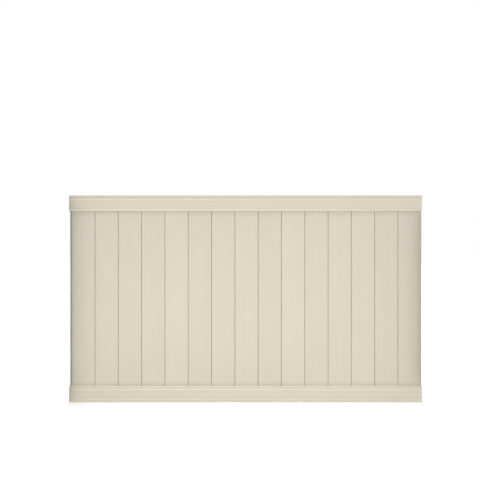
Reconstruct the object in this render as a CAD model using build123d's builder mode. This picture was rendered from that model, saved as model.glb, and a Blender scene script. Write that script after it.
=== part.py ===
from build123d import *
import os

# A privacy fence panel of hollow vinyl extrusions: tongue-and-groove boards
# stand in the pockets of two rails, and a folded steel channel stiffens the
# bottom rail. All sizes are in millimetres. X runs along the rails, Y through
# the panel and Z up, from the middle of the bottom rail's underside.

# Boards
board_count = 15
board_pitch = 152.4  # width that each board covers
board_gap = 1.0  # from one board's shoulder to the next board
board_thickness = 22.2
board_length = 1219.2
board_wall = 1.5
board_bevel = 2.4  # leg of the bevel along each long edge
board_web = 1.1  # thickness of the inner webs
board_web_count = 3

# Tongue and groove
tongue_reach = 12.0
tongue_thickness = 9.0
tongue_radius = 1.2
groove_side_clearance = 0.35  # on each side of the tongue
groove_end_clearance = 0.9  # past the tongue's tip
groove_mouth_radius = 0.7

# Rails
rail_depth = 50.8
rail_height = 104.0
rail_wall = 2.3
rail_radius = 3.2
rail_overhang = 2.0  # each rail end stands this far past the boards

# Pressed lines along both sides of a rail, each a shallow groove with a flat floor
line_from_back = 23.5  # from the rail's closed edge to the first line's middle
line_from_mouth = 15.9  # from the pocket's mouth to the second line's middle
line_width = 11.0
line_floor_width = 5.0
line_depth = 1.6
line_radius = 0.9

# Pocket that the boards stand in
pocket_depth = 39.4
pocket_side_clearance = 0.3  # on each face of a board
pocket_wall = 1.9
pocket_mouth_radius = 0.9

# Folded steel channel in the bottom rail
stiffener_wall = 1.4
stiffener_bend_radius = 3.0
stiffener_side_clearance = 0.45
stiffener_top_clearance = 0.6
stiffener_end_inset = 12.0

# Weep holes, which let rain out of the bottom rail
weep_count = 4
weep_end_inset = 150.0  # from the rail's end to the first hole
weep_diameter = 6.4
stiffener_weep_diameter = 13.0

# Sizes that follow from those above
board_face = board_pitch - board_gap
groove_depth = tongue_reach - board_gap + groove_end_clearance
groove_width = tongue_thickness + 2 * groove_side_clearance
field_width = tongue_reach + board_count * board_pitch - board_gap
first_board_x = -field_width / 2 + tongue_reach + board_face / 2
rail_length = field_width + 2 * rail_overhang
pocket_width = board_thickness + 2 * pocket_side_clearance
pocket_floor = rail_height - pocket_depth
panel_height = board_length + 2 * pocket_floor
stiffener_length = rail_length - 2 * stiffener_end_inset
stiffener_width = rail_depth - 2 * (rail_wall + line_depth + stiffener_side_clearance)
stiffener_height = pocket_floor - pocket_wall - rail_wall - stiffener_top_clearance
weep_spacing = (rail_length - 2 * weep_end_inset) / (weep_count - 1)


def board_section(plane):
    """Hollow board, seen along its length, with its tongue towards -X."""
    cavity_start = -board_face / 2 + board_wall
    cavity_end = board_face / 2 - groove_depth - board_wall
    web_pitch = (cavity_end - cavity_start + board_web) / (board_web_count + 1)

    with BuildSketch(plane) as section:
        Rectangle(board_face, board_thickness)
        chamfer(section.vertices(), board_bevel)
        with Locations((-board_face / 2, 0)):
            Rectangle(2 * tongue_reach, tongue_thickness)
        fillet(section.vertices().group_by(Axis.X)[0], tongue_radius)
        with Locations((board_face / 2, 0)):
            Rectangle(
                2 * groove_depth,
                groove_width,
                mode=Mode.SUBTRACT,
            )
        mouth = section.vertices().group_by(Axis.X)[-1].sort_by(Axis.Y)[1:-1]
        fillet(mouth, groove_mouth_radius)
        offset(amount=-board_wall, mode=Mode.SUBTRACT)

        # The shoulder's wall runs on across the root of the tongue.
        with Locations((-board_face / 2, 0)):
            Rectangle(board_wall, tongue_thickness, align=(Align.MIN, Align.CENTER))
        with Locations(((cavity_start + cavity_end) / 2, 0)):
            with GridLocations(web_pitch, 0, board_web_count, 1):
                Rectangle(board_web, board_thickness - board_wall)
    return section.sketch


def rail_section(plane):
    """Hollow rail, seen along its length, from its closed edge up to the pocket's mouth."""
    with BuildSketch(plane) as section:
        with Locations((0, rail_height / 2)):
            Rectangle(rail_depth, rail_height)
        fillet(section.vertices(), rail_radius)
        with Locations(
            (-rail_depth / 2, line_from_back),
            (rail_depth / 2, line_from_back),
            (-rail_depth / 2, rail_height - line_from_mouth),
            (rail_depth / 2, rail_height - line_from_mouth),
        ):
            Polygon(
                (line_depth, line_floor_width / 2),
                (0, line_width / 2),
                (-line_depth, line_floor_width / 2),
                (-line_depth, -line_floor_width / 2),
                (0, -line_width / 2),
                (line_depth, -line_floor_width / 2),
                mode=Mode.SUBTRACT,
            )
        fillet(section.vertices(Select.LAST), line_radius)
        offset(amount=-rail_wall, mode=Mode.SUBTRACT)

        # One web crosses the rail as the pocket's floor, and two walls stand on it.
        with Locations((0, pocket_floor)):
            Rectangle(
                rail_depth - rail_wall,
                pocket_wall,
                align=(Align.CENTER, Align.MAX),
            )
        with Locations((0, pocket_floor)):
            Rectangle(
                pocket_width + 2 * pocket_wall,
                pocket_depth,
                align=(Align.CENTER, Align.MIN),
            )
            Rectangle(
                pocket_width,
                pocket_depth,
                align=(Align.CENTER, Align.MIN),
                mode=Mode.SUBTRACT,
            )
        mouth = section.vertices().group_by(Axis.Y)[-1].sort_by(Axis.X)[1:-1]
        fillet(mouth, pocket_mouth_radius)
    return section.sketch


os.makedirs("parts", exist_ok=True)

# The bottom rail's pocket opens upwards, and its weep holes go down through
# the pocket's floor and the underside.
with BuildPart() as bottom_rail:
    bottom_end = Plane(
        origin=(-rail_length / 2, 0, 0),
        x_dir=(0, 1, 0),
        z_dir=(1, 0, 0),
    )
    extrude(rail_section(bottom_end), amount=rail_length)
    with Locations((0, 0, pocket_floor)):
        with GridLocations(weep_spacing, 0, weep_count, 1):
            Hole(weep_diameter / 2, pocket_floor)

# The top rail is the same extrusion turned over.
with BuildPart() as top_rail:
    top_end = Plane(
        origin=(-rail_length / 2, 0, panel_height),
        x_dir=(0, -1, 0),
        z_dir=(1, 0, 0),
    )
    extrude(rail_section(top_end), amount=rail_length)

# The steel channel stands on the bottom rail's floor with its open side down,
# and its back carries the pocket's floor.
with BuildPart() as rail_stiffener:
    stiffener_end = Plane(
        origin=(-stiffener_length / 2, 0, rail_wall),
        x_dir=(0, 1, 0),
        z_dir=(1, 0, 0),
    )
    with BuildSketch(stiffener_end) as channel:
        with BuildLine():
            FilletPolyline(
                (-stiffener_width / 2, 0),
                (-stiffener_width / 2, stiffener_height),
                (stiffener_width / 2, stiffener_height),
                (stiffener_width / 2, 0),
                radius=stiffener_bend_radius,
            )
            offset(amount=stiffener_wall, side=Side.RIGHT)
        make_face()
    extrude(amount=stiffener_length)
    with Locations((0, 0, rail_wall + stiffener_height)):
        with GridLocations(weep_spacing, 0, weep_count, 1):
            Hole(stiffener_weep_diameter / 2, 2 * stiffener_wall)

for frame_piece, name in (
    (bottom_rail, "bottom_rail"),
    (top_rail, "top_rail"),
    (rail_stiffener, "rail_stiffener"),
):
    frame_piece.part.label = name
    export_step(frame_piece.part, f"parts/{name}.step")

# Boards, numbered from the end where the first tongue shows.
board_profile = board_section(Plane.XY.offset(pocket_floor))
for index in range(board_count):
    place = Location((first_board_x + index * board_pitch, 0, 0))
    with BuildPart() as board:
        extrude(board_profile.moved(place), amount=board_length)
    board.part.label = f"board_{index + 1:02d}"
    export_step(board.part, f"parts/{board.part.label}.step")
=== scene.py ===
import math

import bpy
from mathutils import Matrix, Vector


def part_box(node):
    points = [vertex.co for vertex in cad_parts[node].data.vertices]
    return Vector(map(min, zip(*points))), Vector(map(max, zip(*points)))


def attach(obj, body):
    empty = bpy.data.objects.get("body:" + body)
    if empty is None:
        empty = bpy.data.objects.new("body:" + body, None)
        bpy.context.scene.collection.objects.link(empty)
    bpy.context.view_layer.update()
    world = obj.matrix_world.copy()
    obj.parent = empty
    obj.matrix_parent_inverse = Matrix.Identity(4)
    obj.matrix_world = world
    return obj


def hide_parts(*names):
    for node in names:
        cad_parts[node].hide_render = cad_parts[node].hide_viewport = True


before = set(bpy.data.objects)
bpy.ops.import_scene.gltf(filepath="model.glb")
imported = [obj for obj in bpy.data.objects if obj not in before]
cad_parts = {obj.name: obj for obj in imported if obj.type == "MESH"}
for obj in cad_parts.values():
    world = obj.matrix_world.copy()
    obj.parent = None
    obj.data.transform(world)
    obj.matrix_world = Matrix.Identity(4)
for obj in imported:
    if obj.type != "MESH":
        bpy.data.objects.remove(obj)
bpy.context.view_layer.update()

# Everything is in metres. X runs along the rails, Y goes through the panel from
# front to back, and Z is up from the bottom rail's underside.
MM = 0.001

# Board section
board_wall = 1.5 * MM
board_web = 1.1 * MM
board_web_count = 3
board_bevel = 2.4 * MM
board_edge_radius = 0.6 * MM
board_gap = 1.0 * MM
tongue_reach = 12.0 * MM
tongue_thickness = 9.0 * MM
tongue_radius = 1.2 * MM
groove_side_clearance = 0.35 * MM
groove_end_clearance = 0.9 * MM
groove_mouth_radius = 0.7 * MM

# Rail section
rail_wall = 2.3 * MM
rail_radius = 3.2 * MM
line_from_back = 23.5 * MM
line_from_mouth = 15.9 * MM
line_width = 11.0 * MM
line_floor_width = 5.0 * MM
line_depth = 1.6 * MM
line_radius = 0.9 * MM
pocket_side_clearance = 0.3 * MM
pocket_wall = 1.9 * MM
pocket_mouth_radius = 0.9 * MM

# Steel channel and weep holes
channel_wall = 1.4 * MM
channel_bend_radius = 3.0 * MM
channel_edge_radius = 0.2 * MM
weep_count = 4
weep_end_inset = 150.0 * MM
weep_radius = 3.2 * MM
channel_weep_radius = 6.5 * MM
weep_facets = 24
drill_room = 5.0 * MM

# Corners that no other size sets, and how fine the meshes are
inner_corner_radius = 0.4 * MM
corner_steps = 4
smooth_below = math.radians(30)
merge_distance = 0.001 * MM

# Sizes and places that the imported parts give
board_nodes = sorted(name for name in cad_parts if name.startswith("board_"))
first_board_low, first_board_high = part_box(board_nodes[0])
second_board_low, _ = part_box(board_nodes[1])
bottom_rail_low, bottom_rail_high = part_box("bottom_rail")
_, top_rail_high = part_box("top_rail")
channel_low, channel_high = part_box("rail_stiffener")

board_pitch = second_board_low.x - first_board_low.x
board_face = board_pitch - board_gap
board_thickness = first_board_high.y - first_board_low.y
board_length = first_board_high.z - first_board_low.z
first_board_x = first_board_low.x + tongue_reach + board_face / 2
first_seam_x = first_board_x + board_pitch / 2
rail_length = bottom_rail_high.x - bottom_rail_low.x
rail_depth = bottom_rail_high.y - bottom_rail_low.y
rail_height = bottom_rail_high.z - bottom_rail_low.z
pocket_floor = first_board_low.z
panel_height = top_rail_high.z
top_rail_foot = panel_height - rail_height
channel_length = channel_high.x - channel_low.x
channel_width = channel_high.y - channel_low.y
channel_height = channel_high.z - channel_low.z
weep_spacing = (rail_length - 2 * weep_end_inset) / (weep_count - 1)


def add_node(tree, kind, inputs=None, **settings):
    """Adds a node, sets its properties, then joins or sets the inputs named."""
    made = tree.nodes.new(kind)
    for name, value in settings.items():
        setattr(made, name, value)
    for key, value in (inputs or {}).items():
        if isinstance(key, int):
            socket = made.inputs[key]
        else:
            socket = next(s for s in made.inputs if s.name == key and s.enabled)
        if isinstance(value, bpy.types.NodeSocket):
            tree.links.new(value, socket)
        else:
            socket.default_value = value
    return made


def result(made, name=None):
    """The output of a node that is in use, by its name or the first one."""
    return next(s for s in made.outputs if s.enabled and name in (None, s.name))


def new_tree(name, kind, inputs, outputs):
    """A node group with named sockets: inputs as (name, socket type, default)."""
    tree = bpy.data.node_groups.new(name, kind)
    for socket_name, socket_type, default in inputs:
        socket = tree.interface.new_socket(socket_name, in_out="INPUT", socket_type=socket_type)
        if default is not None:
            socket.default_value = default
    for socket_name, socket_type in outputs:
        tree.interface.new_socket(socket_name, in_out="OUTPUT", socket_type=socket_type)
    entry = tree.nodes.new("NodeGroupInput")
    leave = tree.nodes.new("NodeGroupOutput")
    return tree, entry.outputs, leave.inputs


def new_object(name, data):
    """An object in the scene that holds a mesh, a camera or a lamp."""
    made = bpy.data.objects.new(name, data)
    bpy.context.scene.collection.objects.link(made)
    return made


def maths(tree, operation, *values):
    """A Math node's output, from its inputs in order."""
    made = add_node(tree, "ShaderNodeMath", dict(enumerate(values)), operation=operation)
    return result(made)


def sum_of(tree, first, second):
    """Two values added."""
    return maths(tree, "ADD", first, second)


def product_of(tree, first, second):
    """Two values multiplied."""
    return maths(tree, "MULTIPLY", first, second)


def remap(tree, value, low, high, to_low, to_high):
    """A value taken from one range to another, and held inside it."""
    made = add_node(
        tree,
        "ShaderNodeMapRange",
        {"Value": value, "From Min": low, "From Max": high, "To Min": to_low, "To Max": to_high},
    )
    return result(made)


def part_of(tree, vector, axis):
    """A vector's X, Y or Z."""
    return add_node(tree, "ShaderNodeSeparateXYZ", {"Vector": vector}).outputs[axis]


def stretched(tree, vector, stretch):
    """A vector with each of its parts multiplied by its own number."""
    made = add_node(tree, "ShaderNodeVectorMath", {0: vector, 1: stretch}, operation="MULTIPLY")
    return result(made)


def noise_of(tree, vector, scale, detail, roughness=0.5):
    """A noise's value at each place."""
    made = add_node(
        tree,
        "ShaderNodeTexNoise",
        {"Vector": vector, "Scale": scale, "Detail": detail, "Roughness": roughness},
    )
    return made.outputs["Fac"]


# Shader groups

noise_middle = 0.5
rough_noise = 0.6
cloud_detail = 2.0
saw_mark_detail = 2.0


def drawn_lines_group():
    """Fine lines that a die or a mill leaves along a profile."""
    tree, given, gives = new_tree(
        "drawn_lines",
        "ShaderNodeTree",
        [
            ("Coordinate", "NodeSocketVector", None),
            ("Stretch", "NodeSocketVector", (1.0, 1.0, 1.0)),
            ("Detail", "NodeSocketFloat", 1.0),
        ],
        [("Lines", "NodeSocketFloat")],
    )
    drawn = stretched(tree, given["Coordinate"], given["Stretch"])
    lines = noise_of(tree, drawn, 1.0, given["Detail"], roughness=rough_noise)
    tree.links.new(lines, gives["Lines"])
    return tree


def cloudy_tone_group():
    """Soft patches of lighter and darker tone."""
    tree, given, gives = new_tree(
        "cloudy_tone",
        "ShaderNodeTree",
        [
            ("Coordinate", "NodeSocketVector", None),
            ("Scale", "NodeSocketFloat", 1.0),
            ("Spread", "NodeSocketFloat", 1.0),
        ],
        [("Tone", "NodeSocketFloat")],
    )
    clouds = noise_of(tree, given["Coordinate"], given["Scale"], cloud_detail)
    centred = maths(tree, "SUBTRACT", clouds, noise_middle)
    tree.links.new(product_of(tree, centred, given["Spread"]), gives["Tone"])
    return tree


def band_group():
    """1 on a line, falling to 0 at its reach, for lines that repeat at a period."""
    tree, given, gives = new_tree(
        "band",
        "ShaderNodeTree",
        [
            ("Position", "NodeSocketFloat", 0.0),
            ("Line", "NodeSocketFloat", 0.0),
            ("Period", "NodeSocketFloat", 1.0),
            ("Reach", "NodeSocketFloat", 1.0),
        ],
        [("Mask", "NodeSocketFloat")],
    )
    half_period = product_of(tree, given["Period"], 0.5)
    minus_half = product_of(tree, given["Period"], -0.5)
    from_line = maths(tree, "SUBTRACT", given["Position"], given["Line"])
    wrapped = maths(tree, "WRAP", from_line, half_period, minus_half)
    distance = maths(tree, "ABSOLUTE", wrapped)
    tree.links.new(remap(tree, distance, 0.0, given["Reach"], 1.0, 0.0), gives["Mask"])
    return tree


def sawn_end_group():
    """Where a profile is sawn off across X: a mask, and the saw's upright marks."""
    tree, given, gives = new_tree(
        "sawn_end",
        "ShaderNodeTree",
        [
            ("Coordinate", "NodeSocketVector", None),
            ("Half Length", "NodeSocketFloat", 1.0),
            ("Margin", "NodeSocketFloat", 0.0),
            ("Stretch", "NodeSocketVector", (1.0, 1.0, 1.0)),
        ],
        [("Mask", "NodeSocketFloat"), ("Marks", "NodeSocketFloat")],
    )
    from_middle = maths(tree, "ABSOLUTE", part_of(tree, given["Coordinate"], "X"))
    edge = maths(tree, "SUBTRACT", given["Half Length"], given["Margin"])
    tree.links.new(maths(tree, "GREATER_THAN", from_middle, edge), gives["Mask"])
    drawn = stretched(tree, given["Coordinate"], given["Stretch"])
    tree.links.new(noise_of(tree, drawn, 1.0, saw_mark_detail), gives["Marks"])
    return tree


drawn_lines = drawn_lines_group()
cloudy_tone = cloudy_tone_group()
band = band_group()
sawn_end = sawn_end_group()

# Vinyl finish, with bump heights in millimetres

vinyl_colour = (0.700, 0.650, 0.518, 1.0)
vinyl_shade_colour = (0.42, 0.375, 0.285, 1.0)
seam_shade = 0.93
upper_ledge_shade = 0.06
lower_ledge_shade = 0.35
ledge_shade_reach = 32.0 * MM
strip_shade = 0.12
strip_edge_shade = 0.10
strip_blend = 1.0 * MM
board_tone = 0.012
rail_tone = 0.02
# Painted highlight: the bottom rail's rounded top edge made lighter where light from above falls on
# it
painted_lip_highlight = 0.10
noise_low = 0.3
noise_high = 0.7
patch_scale = 2.2
patch_tone = 0.05
streak_along = 0.7
streak_across = 62.0
streak_detail = 1.0
streak_tone = 0.008
die_line_along = 2.5
die_line_across = 420.0
die_line_detail = 3.0
die_line_height = 0.012
grain_scale = 1800.0
grain_detail = 2.0
grain_height = 0.004
wave_scale = 9.0
wave_detail = 1.0
wave_height = 0.35
least_roughness = 0.42
most_roughness = 0.52
dull_roughness = 0.90
saw_mark_stretch = (1.0, 900.0, 60.0)
saw_mark_tone = 0.04
sawn_margin = 0.1 * MM

# Zinc finish, with bump heights in millimetres

zinc_colour = (0.60, 0.61, 0.61, 1.0)
crystal_scale = 95.0
darkest_crystal = 0.86
brightest_crystal = 1.06
smoothest_crystal = 0.30
roughest_crystal = 0.48
crystal_height = 0.02
mill_line_stretch = (6.0, 500.0, 500.0)
mill_line_detail = 2.0
mill_line_tone = 0.06
mill_line_height = 0.02


def new_material(name):
    """A material with an empty tree, its Principled shader and its coordinates."""
    material = bpy.data.materials.new(name)
    material.use_nodes = True
    tree = material.node_tree
    tree.nodes.clear()
    shader = add_node(tree, "ShaderNodeBsdfPrincipled")
    output = add_node(tree, "ShaderNodeOutputMaterial")
    tree.links.new(shader.outputs["BSDF"], output.inputs["Surface"])
    place = add_node(tree, "ShaderNodeTexCoord").outputs["Object"]
    return material, tree, shader, place


def group_node(tree, group, inputs):
    """A shader group placed in a material with its own values."""
    return add_node(tree, "ShaderNodeGroup", inputs, node_tree=group)


def join_colour(tree, shader, brightness, colour):
    """Joins a colour to a shader, made lighter or darker by a brightness."""
    toned = add_node(tree, "ShaderNodeHueSaturation", {"Value": brightness, "Color": colour})
    tree.links.new(result(toned), shader.inputs["Base Color"])


def join_bump(tree, shader, height):
    """Joins a height in millimetres to a shader's normal."""
    bump = add_node(tree, "ShaderNodeBump", {"Strength": 1.0, "Distance": MM, "Height": height})
    tree.links.new(bump.outputs["Normal"], shader.inputs["Normal"])


def finish_vinyl(tree, shader, place, along, tone, shade, dull_mask):
    """Joins a vinyl's tone with any painted highlight, shaded and dull places, die lines and grain
    to its shader.
    """
    line_stretch = [die_line_along if axis == along else die_line_across for axis in "XYZ"]
    streak_stretch = [streak_along if axis == along else streak_across for axis in "XYZ"]
    lines = group_node(
        tree,
        drawn_lines,
        {"Coordinate": place, "Stretch": line_stretch, "Detail": die_line_detail},
    )
    streaks = group_node(
        tree,
        drawn_lines,
        {"Coordinate": place, "Stretch": streak_stretch, "Detail": streak_detail},
    )
    patches = group_node(
        tree,
        cloudy_tone,
        {"Coordinate": place, "Scale": patch_scale, "Spread": patch_tone},
    )
    tinted = add_node(
        tree,
        "ShaderNodeMix",
        {"Factor": shade, "A": vinyl_colour, "B": vinyl_shade_colour},
        data_type="RGBA",
    )
    streaked = remap(
        tree,
        result(streaks),
        noise_low,
        noise_high,
        1.0 - streak_tone,
        1.0 + streak_tone,
    )
    brightness = sum_of(tree, sum_of(tree, result(patches), tone), streaked)
    join_colour(tree, shader, brightness, result(tinted))
    satin = remap(tree, result(lines), noise_low, noise_high, least_roughness, most_roughness)
    roughness = add_node(
        tree,
        "ShaderNodeMix",
        {"Factor": dull_mask, "A": satin, "B": dull_roughness},
        data_type="FLOAT",
    )
    tree.links.new(result(roughness), shader.inputs["Roughness"])
    grain = noise_of(tree, place, grain_scale, grain_detail, roughness=rough_noise)
    waves = noise_of(tree, place, wave_scale, wave_detail)
    fine = sum_of(
        tree,
        product_of(tree, result(lines), die_line_height),
        product_of(tree, grain, grain_height),
    )
    join_bump(tree, shader, sum_of(tree, fine, product_of(tree, waves, wave_height)))


def board_vinyl_material():
    """Satin vinyl of the boards, each in its own slight tone, shaded in the seams."""
    material, tree, shader, place = new_material("board_vinyl")
    seam = group_node(
        tree,
        band,
        {
            "Position": part_of(tree, place, "X"),
            "Line": first_seam_x,
            "Period": board_pitch,
            "Reach": board_gap / 2 + board_bevel,
        },
    )
    height = part_of(tree, place, "Z")
    lower_reach = rail_height + ledge_shade_reach
    upper_reach = top_rail_foot - ledge_shade_reach
    ledges = sum_of(
        tree,
        remap(tree, height, rail_height, lower_reach, lower_ledge_shade, 0.0),
        remap(tree, height, upper_reach, top_rail_foot, 0.0, upper_ledge_shade),
    )
    shade = sum_of(tree, product_of(tree, result(seam), seam_shade), ledges)
    chance = add_node(tree, "ShaderNodeAttribute", attribute_name="tone").outputs["Fac"]
    tone = product_of(tree, chance, board_tone)
    finish_vinyl(tree, shader, place, "Z", tone, shade, 0.0)
    return material


def rail_vinyl_material():
    """The same vinyl drawn along X, with sawn ends, a shaded strip, a dull edge on top and a
    painted highlight on the bottom rail's lip.
    """
    material, tree, shader, place = new_material("rail_vinyl")
    end = group_node(
        tree,
        sawn_end,
        {
            "Coordinate": place,
            "Half Length": rail_length / 2,
            "Margin": sawn_margin,
            "Stretch": saw_mark_stretch,
        },
    )
    cut = end.outputs["Mask"]
    marks = product_of(tree, end.outputs["Marks"], saw_mark_tone)

    height = part_of(tree, place, "Z")
    # The bottom rail's lip gets a painted highlight: lighter colour standing in for light falling
    # on its rounded top edge
    lip_start = rail_height - rail_radius
    lip_full = rail_height - rail_radius / 2
    lip_highlight = remap(tree, height, lip_start, lip_full, 0.0, painted_lip_highlight)
    in_bottom_rail = maths(tree, "LESS_THAN", height, panel_height / 2)
    saw_marks_and_lip_highlight = sum_of(tree, product_of(tree, cut, marks), product_of(tree, lip_highlight, in_bottom_rail))
    # This tone carries the saw marks, the painted lip highlight and the rails' own tone
    tone = sum_of(tree, saw_marks_and_lip_highlight, rail_tone)

    strip_foot = panel_height - line_from_back
    strip = product_of(
        tree,
        remap(tree, height, strip_foot - strip_blend, strip_foot + strip_blend, 0.0, 1.0),
        remap(tree, height, strip_foot, panel_height, strip_shade, strip_edge_shade),
    )
    dull_start = panel_height - rail_radius
    dull_full = panel_height - rail_radius / 2
    dull_top = remap(tree, height, dull_start, dull_full, 0.0, 1.0)
    finish_vinyl(tree, shader, place, "X", tone, strip, sum_of(tree, cut, dull_top))
    return material


def zinc_steel_material():
    """Zinc-coated steel: pale metal with crystal patches and mill lines."""
    material, tree, shader, place = new_material("zinc_steel")
    crystals = add_node(
        tree,
        "ShaderNodeTexVoronoi",
        {"Vector": place, "Scale": crystal_scale, "Randomness": 1.0},
    )
    chance = add_node(tree, "ShaderNodeSeparateColor", {"Color": crystals.outputs["Color"]})
    lines = group_node(
        tree,
        drawn_lines,
        {"Coordinate": place, "Stretch": mill_line_stretch, "Detail": mill_line_detail},
    )
    brightness = sum_of(
        tree,
        remap(tree, chance.outputs["Red"], 0.0, 1.0, darkest_crystal, brightest_crystal),
        product_of(tree, result(lines), mill_line_tone),
    )
    join_colour(tree, shader, brightness, zinc_colour)
    roughness = remap(
        tree,
        chance.outputs["Green"],
        0.0,
        1.0,
        smoothest_crystal,
        roughest_crystal,
    )
    tree.links.new(roughness, shader.inputs["Roughness"])
    shader.inputs["Metallic"].default_value = 1.0
    height = sum_of(
        tree,
        product_of(tree, chance.outputs["Blue"], crystal_height),
        product_of(tree, result(lines), mill_line_height),
    )
    join_bump(tree, shader, height)
    return material


board_vinyl = board_vinyl_material()
rail_vinyl = rail_vinyl_material()
zinc_steel = zinc_steel_material()

# Sections, as loops of (x, y, corner radius)


def mirrored(half, across):
    """Closes half a loop with its mirror image across the X or the Y axis."""
    if across == "X":
        other = [(x, -y, radius) for x, y, radius in reversed(half)]
    else:
        other = [(-x, y, radius) for x, y, radius in reversed(half)]
    return half + other


def board_loops():
    """Outline of a hollow board, tongue to the left, and its inner cells."""
    half_face = board_face / 2
    half_thickness = board_thickness / 2
    half_tongue = tongue_thickness / 2
    half_groove = half_tongue + groove_side_clearance
    groove_depth = tongue_reach - board_gap + groove_end_clearance
    outline = [
        (-half_face - tongue_reach, -half_tongue, tongue_radius),
        (-half_face, -half_tongue, inner_corner_radius),
        (-half_face, -half_thickness + board_bevel, board_edge_radius),
        (-half_face + board_bevel, -half_thickness, board_edge_radius),
        (half_face - board_bevel, -half_thickness, board_edge_radius),
        (half_face, -half_thickness + board_bevel, board_edge_radius),
        (half_face, -half_groove, groove_mouth_radius),
        (half_face - groove_depth, -half_groove, inner_corner_radius),
    ]

    inner = half_thickness - board_wall
    corner_cut = board_bevel - (2 - math.sqrt(2)) * board_wall
    cells_start = -half_face + board_wall
    cells_end = half_face - groove_depth - board_wall
    leg_end = half_face - board_wall
    leg_inner = -half_groove - board_wall
    web_pitch = (cells_end - cells_start + board_web) / (board_web_count + 1)
    cell_width = web_pitch - board_web
    small = inner_corner_radius

    tongue_cell = [
        (-half_face - tongue_reach + board_wall, -half_tongue + board_wall, small),
        (-half_face, -half_tongue + board_wall, small),
    ]
    first_cell = [
        (cells_start, -inner + corner_cut, small),
        (cells_start + corner_cut, -inner, small),
        (cells_start + cell_width, -inner, small),
    ]
    middle_cells = []
    for index in range(1, board_web_count):
        left = cells_start + index * web_pitch
        middle_cells.append([(left, -inner, small), (left + cell_width, -inner, small)])
    last_cell = [
        (cells_end - cell_width, -inner, small),
        (leg_end - corner_cut, -inner, small),
        (leg_end, -inner + corner_cut, small),
        (leg_end, leg_inner, small),
        (cells_end, leg_inner, board_wall),
    ]
    halves = [outline, tongue_cell, first_cell, *middle_cells, last_cell]
    return [mirrored(half, "X") for half in halves]


def pressed_line(face_x, height, spread, floor_radius, edge_radius):
    """The four corners of a shallow groove that is pressed into a rail's side."""
    half_width = line_width / 2 + spread
    half_floor = line_floor_width / 2 + spread
    return [
        (face_x, height - half_width, edge_radius),
        (face_x - line_depth, height - half_floor, floor_radius),
        (face_x - line_depth, height + half_floor, floor_radius),
        (face_x, height + half_width, edge_radius),
    ]


def rail_loops():
    """Outline of a hollow rail, from its closed edge to the pocket's mouth, and its chambers."""
    half_depth = rail_depth / 2
    half_pocket = board_thickness / 2 + pocket_side_clearance
    low_line = line_from_back
    high_line = rail_height - line_from_mouth
    outline = [
        (half_depth, 0.0, rail_radius),
        *pressed_line(half_depth, low_line, 0.0, line_radius, line_radius),
        *pressed_line(half_depth, high_line, 0.0, line_radius, line_radius),
        (half_depth, rail_height, rail_radius),
        (half_pocket, rail_height, pocket_mouth_radius),
        (half_pocket, pocket_floor, inner_corner_radius),
    ]

    slope = math.atan2(line_depth, (line_width - line_floor_width) / 2)
    spread = rail_wall * math.tan(slope / 2)
    inner_face = half_depth - rail_wall
    floor_radius = line_radius + rail_wall
    small = inner_corner_radius
    inner_radius = rail_radius - rail_wall
    web_underside = pocket_floor - pocket_wall
    chamber = [
        (inner_face, rail_wall, inner_radius),
        *pressed_line(inner_face, low_line, spread, floor_radius, small),
        (inner_face, web_underside, small),
    ]
    side_chamber = [
        (half_pocket + pocket_wall, pocket_floor, small),
        (inner_face, pocket_floor, small),
        *pressed_line(inner_face, high_line, spread, floor_radius, small),
        (inner_face, rail_height - rail_wall, inner_radius),
        (half_pocket + pocket_wall, rail_height - rail_wall, small),
    ]
    other_side_chamber = [(-x, y, radius) for x, y, radius in side_chamber]
    return [mirrored(outline, "Y"), mirrored(chamber, "Y"), side_chamber, other_side_chamber]


def channel_loops():
    """Outline of the folded channel, open side down."""
    half_width = channel_width / 2
    bend_inside = channel_bend_radius - channel_wall
    half = [
        (half_width - channel_wall, channel_height - channel_wall, bend_inside),
        (half_width - channel_wall, 0.0, channel_edge_radius),
        (half_width, 0.0, channel_edge_radius),
        (half_width, channel_height, channel_bend_radius),
    ]
    return [mirrored(half, "Y")]


# Geometry trees


def row_of(tree, shape, count, start, spacing):
    """Instances of a shape in a row along X."""
    step = add_node(tree, "ShaderNodeCombineXYZ", {"X": spacing})
    row = add_node(
        tree,
        "GeometryNodeMeshLine",
        {"Count": count, "Start Location": start, "Offset": result(step)},
        mode="OFFSET",
    )
    placed = add_node(
        tree,
        "GeometryNodeInstanceOnPoints",
        {"Points": result(row), "Instance": shape},
    )
    return result(placed)


def creased_and_dressed(tree, geometry, smooth_limit, material):
    """A surface with sharp edges where it turns by more than a limit, in its material."""
    angle = add_node(tree, "GeometryNodeInputMeshEdgeAngle")
    is_sharp = add_node(
        tree,
        "FunctionNodeCompare",
        {"A": angle.outputs["Unsigned Angle"], "B": smooth_limit},
        data_type="FLOAT",
        operation="GREATER_THAN",
    )
    creased = add_node(
        tree,
        "GeometryNodeSetShadeSmooth",
        {"Geometry": geometry, "Selection": result(is_sharp), "Shade Smooth": False},
        domain="EDGE",
    )
    dressed = add_node(
        tree,
        "GeometryNodeSetMaterial",
        {"Geometry": result(creased), "Material": material},
    )
    return result(dressed)


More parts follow.
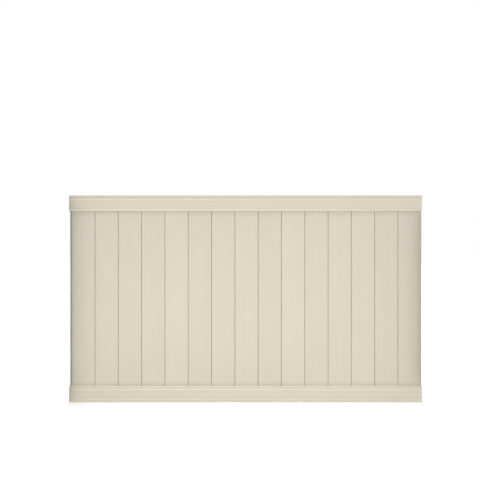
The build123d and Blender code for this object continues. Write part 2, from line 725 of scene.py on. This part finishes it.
def extrusion_tree():
    """Rounds a section's corners, fills it, draws it out, and repeats it in a row."""
    tree, given, gives = new_tree(
        "extrusion",
        "GeometryNodeTree",
        [
            ("Geometry", "NodeSocketGeometry", None),
            ("Corner Steps", "NodeSocketInt", corner_steps),
            ("Length", "NodeSocketFloat", 1.0),
            ("Turn", "NodeSocketRotation", None),
            ("Start", "NodeSocketVector", None),
            ("Copies", "NodeSocketInt", 1),
            ("Spacing", "NodeSocketFloat", 0.0),
            ("Tone Seed", "NodeSocketInt", 0),
            ("Smooth Below", "NodeSocketFloat", smooth_below),
            ("Material", "NodeSocketMaterial", None),
        ],
        [("Geometry", "NodeSocketGeometry")],
    )
    outline = add_node(tree, "GeometryNodeMeshToCurve", {"Mesh": given["Geometry"]})
    corner = add_node(tree, "GeometryNodeInputNamedAttribute", {"Name": "corner"})
    rounded = add_node(
        tree,
        "GeometryNodeFilletCurve",
        {
            "Curve": result(outline),
            "Count": given["Corner Steps"],
            "Radius": result(corner, "Attribute"),
            "Limit Radius": True,
        },
        mode="POLY",
    )
    section = add_node(tree, "GeometryNodeFillCurve", {"Curve": result(rounded)}, mode="TRIANGLES")
    drawn = add_node(
        tree,
        "GeometryNodeExtrudeMesh",
        {
            "Mesh": result(section),
            "Offset": (0.0, 0.0, 1.0),
            "Offset Scale": given["Length"],
            "Individual": False,
        },
        mode="FACES",
    )
    foot = add_node(tree, "GeometryNodeFlipFaces", {"Mesh": result(section)})
    both = add_node(tree, "GeometryNodeJoinGeometry")
    tree.links.new(result(foot), both.inputs[0])
    tree.links.new(result(drawn), both.inputs[0])
    closed = add_node(
        tree,
        "GeometryNodeMergeByDistance",
        {"Geometry": result(both), "Distance": merge_distance},
    )
    turned = add_node(
        tree,
        "GeometryNodeTransform",
        {"Geometry": result(closed), "Rotation": given["Turn"]},
    )
    placed = row_of(tree, result(turned), given["Copies"], given["Start"], given["Spacing"])
    chance = add_node(
        tree,
        "FunctionNodeRandomValue",
        {"Min": -1.0, "Max": 1.0, "Seed": given["Tone Seed"]},
        data_type="FLOAT",
    )
    toned = add_node(
        tree,
        "GeometryNodeStoreNamedAttribute",
        {"Geometry": placed, "Name": "tone", "Value": result(chance)},
        data_type="FLOAT",
        domain="INSTANCE",
    )
    real = add_node(tree, "GeometryNodeRealizeInstances", {"Geometry": result(toned)})
    smooth = add_node(tree, "GeometryNodeSetShadeSmooth", {"Geometry": result(real)}, domain="FACE")
    dressed = creased_and_dressed(tree, result(smooth), given["Smooth Below"], given["Material"])
    tree.links.new(dressed, gives["Geometry"])
    return tree


def weep_hole_tree():
    """Drills a row of upright holes through a rail or the channel."""
    tree, given, gives = new_tree(
        "weep_holes",
        "GeometryNodeTree",
        [
            ("Geometry", "NodeSocketGeometry", None),
            ("Count", "NodeSocketInt", weep_count),
            ("Start", "NodeSocketVector", None),
            ("Spacing", "NodeSocketFloat", weep_spacing),
            ("Radius", "NodeSocketFloat", weep_radius),
            ("Height", "NodeSocketFloat", drill_room),
            ("Facets", "NodeSocketInt", weep_facets),
            ("Smooth Below", "NodeSocketFloat", smooth_below),
            ("Material", "NodeSocketMaterial", None),
        ],
        [("Geometry", "NodeSocketGeometry")],
    )
    drill = add_node(
        tree,
        "GeometryNodeMeshCylinder",
        {"Vertices": given["Facets"], "Radius": given["Radius"], "Depth": given["Height"]},
    )
    placed = row_of(tree, drill.outputs["Mesh"], given["Count"], given["Start"], given["Spacing"])
    drills = add_node(tree, "GeometryNodeRealizeInstances", {"Geometry": placed})
    drilled = add_node(
        tree,
        "GeometryNodeMeshBoolean",
        {"Mesh 1": given["Geometry"], "Mesh 2": result(drills)},
        operation="DIFFERENCE",
        solver="EXACT",
    )
    dressed = creased_and_dressed(tree, result(drilled), given["Smooth Below"], given["Material"])
    tree.links.new(dressed, gives["Geometry"])
    return tree


extrusion = extrusion_tree()
weep_holes = weep_hole_tree()

# Pieces

board_tone_seed = 7


def section_object(name, loops):
    """A mesh of closed loops, with each corner's radius kept on its point."""
    points = []
    edges = []
    radii = []
    for loop in loops:
        first = len(points)
        count = len(loop)
        points.extend((x, y, 0.0) for x, y, _ in loop)
        radii.extend(radius for _, _, radius in loop)
        edges.extend((first + i, first + (i + 1) % count) for i in range(count))
    mesh = bpy.data.meshes.new(name)
    mesh.from_pydata(points, edges, [])
    corner = mesh.attributes.new("corner", "FLOAT", "POINT")
    corner.data.foreach_set("value", radii)
    return new_object(name, mesh)


def apply_tree(target, tree, values):
    """Adds a geometry tree to an object, with its inputs set by their identifiers."""
    modifier = target.modifiers.new(tree.name, "NODES")
    modifier.node_group = tree
    for item in tree.interface.items_tree:
        if item.item_type == "SOCKET" and item.in_out == "INPUT" and item.name in values:
            modifier[item.identifier] = values[item.name]


def finished_piece(section, name):
    """Turns an object and its trees into a plain mesh piece, and removes the object."""
    weighted = section.modifiers.new("weighted_normals", "WEIGHTED_NORMAL")
    weighted.keep_sharp = True
    evaluated = section.evaluated_get(bpy.context.evaluated_depsgraph_get())
    mesh = bpy.data.meshes.new_from_object(evaluated)
    mesh.name = name
    bpy.data.objects.remove(section)
    return new_object(name, mesh)


def dress(piece, slot, *nodes):
    """Makes a piece stand for its nodes and ride on the one body."""
    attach(piece, "root")
    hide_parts(*nodes)


def along_x(flipped):
    """Turn that lays a section's length along X, with its own up pointing up or down."""
    side = -1.0 if flipped else 1.0
    columns = Matrix(((0.0, 0.0, 1.0), (side, 0.0, 0.0), (0.0, side, 0.0)))
    return columns.to_euler()


def drill_weep_holes(section, radius, low, high, material):
    """Adds the weep holes from one height to another, with room at both ends."""
    values = {
        "Count": weep_count,
        "Start": (-rail_length / 2 + weep_end_inset, 0.0, (low + high) / 2),
        "Spacing": weep_spacing,
        "Radius": radius,
        "Height": high - low + 2 * drill_room,
        "Facets": weep_facets,
        "Smooth Below": smooth_below,
        "Material": material,
    }
    apply_tree(section, weep_holes, values)


def make_boards():
    """The row of tongue-and-groove boards."""
    section = section_object("board_section", board_loops())
    values = {
        "Corner Steps": corner_steps,
        "Length": board_length,
        "Start": (first_board_x, 0.0, pocket_floor),
        "Copies": len(board_nodes),
        "Spacing": board_pitch,
        "Tone Seed": board_tone_seed,
        "Smooth Below": smooth_below,
        "Material": board_vinyl,
    }
    apply_tree(section, extrusion, values)
    return finished_piece(section, "boards")


def make_rail(name, base_z, flipped, drilled):
    """One rail: the top one is the same extrusion turned over, with no holes."""
    section = section_object(name + "_section", rail_loops())
    values = {
        "Corner Steps": corner_steps,
        "Length": rail_length,
        "Turn": along_x(flipped),
        "Start": (-rail_length / 2, 0.0, base_z),
        "Smooth Below": smooth_below,
        "Material": rail_vinyl,
    }
    apply_tree(section, extrusion, values)
    if drilled:
        drill_weep_holes(section, weep_radius, 0.0, pocket_floor, rail_vinyl)
    return finished_piece(section, name)


def make_channel():
    """The folded steel channel in the bottom rail, with holes over the weep holes."""
    section = section_object("channel_section", channel_loops())
    values = {
        "Corner Steps": corner_steps,
        "Length": channel_length,
        "Turn": along_x(flipped=False),
        "Start": (-channel_length / 2, 0.0, channel_low.z),
        "Smooth Below": smooth_below,
        "Material": zinc_steel,
    }
    apply_tree(section, extrusion, values)
    drill_weep_holes(section, channel_weep_radius, channel_high.z, channel_high.z, zinc_steel)
    return finished_piece(section, "steel_channel")


boards = make_boards()
top_rail = make_rail("top_rail_vinyl", panel_height, flipped=True, drilled=False)
bottom_rail = make_rail("bottom_rail_vinyl", 0.0, flipped=False, drilled=True)
channel = make_channel()

dress(boards, "board_vinyl", *board_nodes)
dress(top_rail, "rail_vinyl", "top_rail")
dress(bottom_rail, "rail_vinyl", "bottom_rail")
dress(channel, "zinc_steel", "rail_stiffener")

# Studio camera

camera_x = -0.0364
camera_height = 1.0573
camera_distance = 5.0
camera_clip_end = 200.0
frame_width_at_boards = 3.1374
sensor_width = 36.0

# Studio backdrop and floor

white = (1.0, 1.0, 1.0, 1.0)
dome_down = 0.0
dome_up = 0.97
floor_size = 60.0
floor_grey = 0.72
near_floor = 2.0
far_floor = 8.0
near_floor_lift = 0.41
far_floor_lift = 0.60

# Studio lights

softbox_size = 9.6
key_x = -2.1
key_distance = 9.5
key_height = 21.5
key_power = 430.0
glint_x = -3.2
glint_distance = 14.4
glint_height = 18.0
glint_power = 5660.0
low_fill_distance = 2.2
low_fill_height = 0.3
low_fill_width = 4.0
low_fill_depth = 0.4
low_fill_power = 20.4

# Studio flags

flag_reach = 110.0 * MM
flag_gap = 3.0 * MM
flag_foot = 3.0 * MM
flag_front_foot = 45.0 * MM
flag_rail_room = 12.0 * MM
flag_grey = 0.05


def make_camera():
    """A level camera in front of the panel, with no shift."""
    data = bpy.data.cameras.new("camera")
    data.sensor_width = sensor_width
    data.lens = sensor_width * camera_distance / frame_width_at_boards
    data.clip_end = camera_clip_end
    camera = new_object("camera", data)
    camera.location = (camera_x, -board_thickness / 2 - camera_distance, camera_height)
    camera.rotation_euler = (math.radians(90), 0.0, 0.0)
    bpy.context.scene.camera = camera


def seen_directly(tree):
    """1 for camera, glossy and transmission rays."""
    light_path = add_node(tree, "ShaderNodeLightPath")
    seen = light_path.outputs["Is Camera Ray"]
    for name in ("Is Glossy Ray", "Is Transmission Ray"):
        seen = maths(tree, "MAXIMUM", seen, light_path.outputs[name])
    return seen


def make_world():
    """A white backdrop, and a soft dome of light, full from above and none from below."""
    world = bpy.data.worlds.new("studio")
    bpy.context.scene.world = world
    world.use_nodes = True
    tree = world.node_tree
    tree.nodes.clear()
    direction = add_node(tree, "ShaderNodeTexCoord").outputs["Generated"]
    strength = remap(tree, part_of(tree, direction, "Z"), -1.0, 1.0, dome_down, dome_up)
    dome = add_node(tree, "ShaderNodeBackground", {"Color": white, "Strength": strength})
    backdrop = add_node(tree, "ShaderNodeBackground", {"Color": white})
    chosen = add_node(
        tree,
        "ShaderNodeMixShader",
        {0: seen_directly(tree), 1: dome.outputs[0], 2: backdrop.outputs[0]},
    )
    output = add_node(tree, "ShaderNodeOutputWorld")
    tree.links.new(chosen.outputs[0], output.inputs["Surface"])


def new_matte_material(name, grey):
    """A plain grey material without gloss."""
    material, tree, shader, place = new_material(name)
    shader.inputs["Base Color"].default_value = (grey, grey, grey, 1.0)
    shader.inputs["Roughness"].default_value = 1.0
    shader.inputs["Specular IOR Level"].default_value = 0.0
    return material, tree, shader, place


def sheet_object(name, corners, material):
    """A flat sheet with four corners."""
    mesh = bpy.data.meshes.new(name)
    mesh.from_pydata(corners, [], [(0, 1, 2, 3)])
    mesh.materials.append(material)
    return new_object(name, mesh)


def make_floor():
    """A pale floor that looks white where nothing shades it."""
    material, tree, shader, place = new_matte_material("floor_paint", floor_grey)
    shader.inputs["Emission Color"].default_value = white
    distance = add_node(tree, "ShaderNodeVectorMath", {0: place}, operation="LENGTH")
    lift = remap(
        tree,
        distance.outputs["Value"],
        near_floor,
        far_floor,
        near_floor_lift,
        far_floor_lift,
    )
    seen_lift = product_of(tree, seen_directly(tree), lift)
    tree.links.new(seen_lift, shader.inputs["Emission Strength"])
    half = floor_size / 2
    corners = [(-half, -half, 0.0), (half, -half, 0.0), (half, half, 0.0), (-half, half, 0.0)]
    floor = sheet_object("floor", corners, material)


def make_flag(name, x, back, low, front_low, high, material):
    """A dark flag beside the panel's end, out to the front, which keeps light off that end."""
    front = -board_thickness / 2 - flag_reach
    corners = [(x, front, front_low), (x, back, low), (x, back, high), (x, front, high)]
    flag = sheet_object(name, corners, material)
    flag.visible_camera = False
    flag.visible_glossy = False
    flag.visible_transmission = False


def make_flags():
    """Flags along the whole left end, and one along the boards at the right end."""
    cloth, *_ = new_matte_material("flag_cloth", flag_grey)
    right = rail_length / 2 + flag_gap
    left = -right
    rail_face = -rail_depth / 2
    tongue_face = -tongue_thickness / 2
    make_flag("left_bottom_flag", left, rail_face, flag_foot, flag_front_foot, rail_height, cloth)
    make_flag("left_flag", left, tongue_face, rail_height, rail_height, top_rail_foot, cloth)
    make_flag("left_top_flag", left, rail_face, top_rail_foot, top_rail_foot, panel_height, cloth)
    low = rail_height + flag_rail_room
    high = top_rail_foot - flag_rail_room
    make_flag("right_flag", right, tongue_face, low, low, high, cloth)


def make_softbox(name, position, width, height, power):
    """A soft light that faces the panel's middle."""
    data = bpy.data.lights.new(name, "AREA")
    data.shape = "RECTANGLE"
    data.size = width
    data.size_y = height
    data.energy = power
    light = new_object(name, data)
    light.location = position
    aim = Vector((0.0, 0.0, panel_height / 2)) - light.location
    light.rotation_euler = aim.to_track_quat("-Z", "Y").to_euler()
    return light


def light_side(name, side):
    """A key above, a low fill, and a light that only gloss shows, on one side of the panel."""
    key_place = (key_x, side * key_distance, key_height)
    make_softbox(name + "_key", key_place, softbox_size, softbox_size, key_power)
    fill_place = (0.0, side * low_fill_distance, low_fill_height)
    fill = make_softbox(
        name + "_low_fill",
        fill_place,
        low_fill_width,
        low_fill_depth,
        low_fill_power,
    )
    fill.visible_glossy = False
    glint_place = (glint_x, side * glint_distance, glint_height)
    glint = make_softbox(name + "_glint", glint_place, softbox_size, softbox_size, glint_power)
    glint.visible_diffuse = False


make_camera()
make_world()
make_floor()
make_flags()
light_side("front", -1.0)
light_side("back", 1.0)
bpy.context.scene.view_settings.view_transform = "Standard"
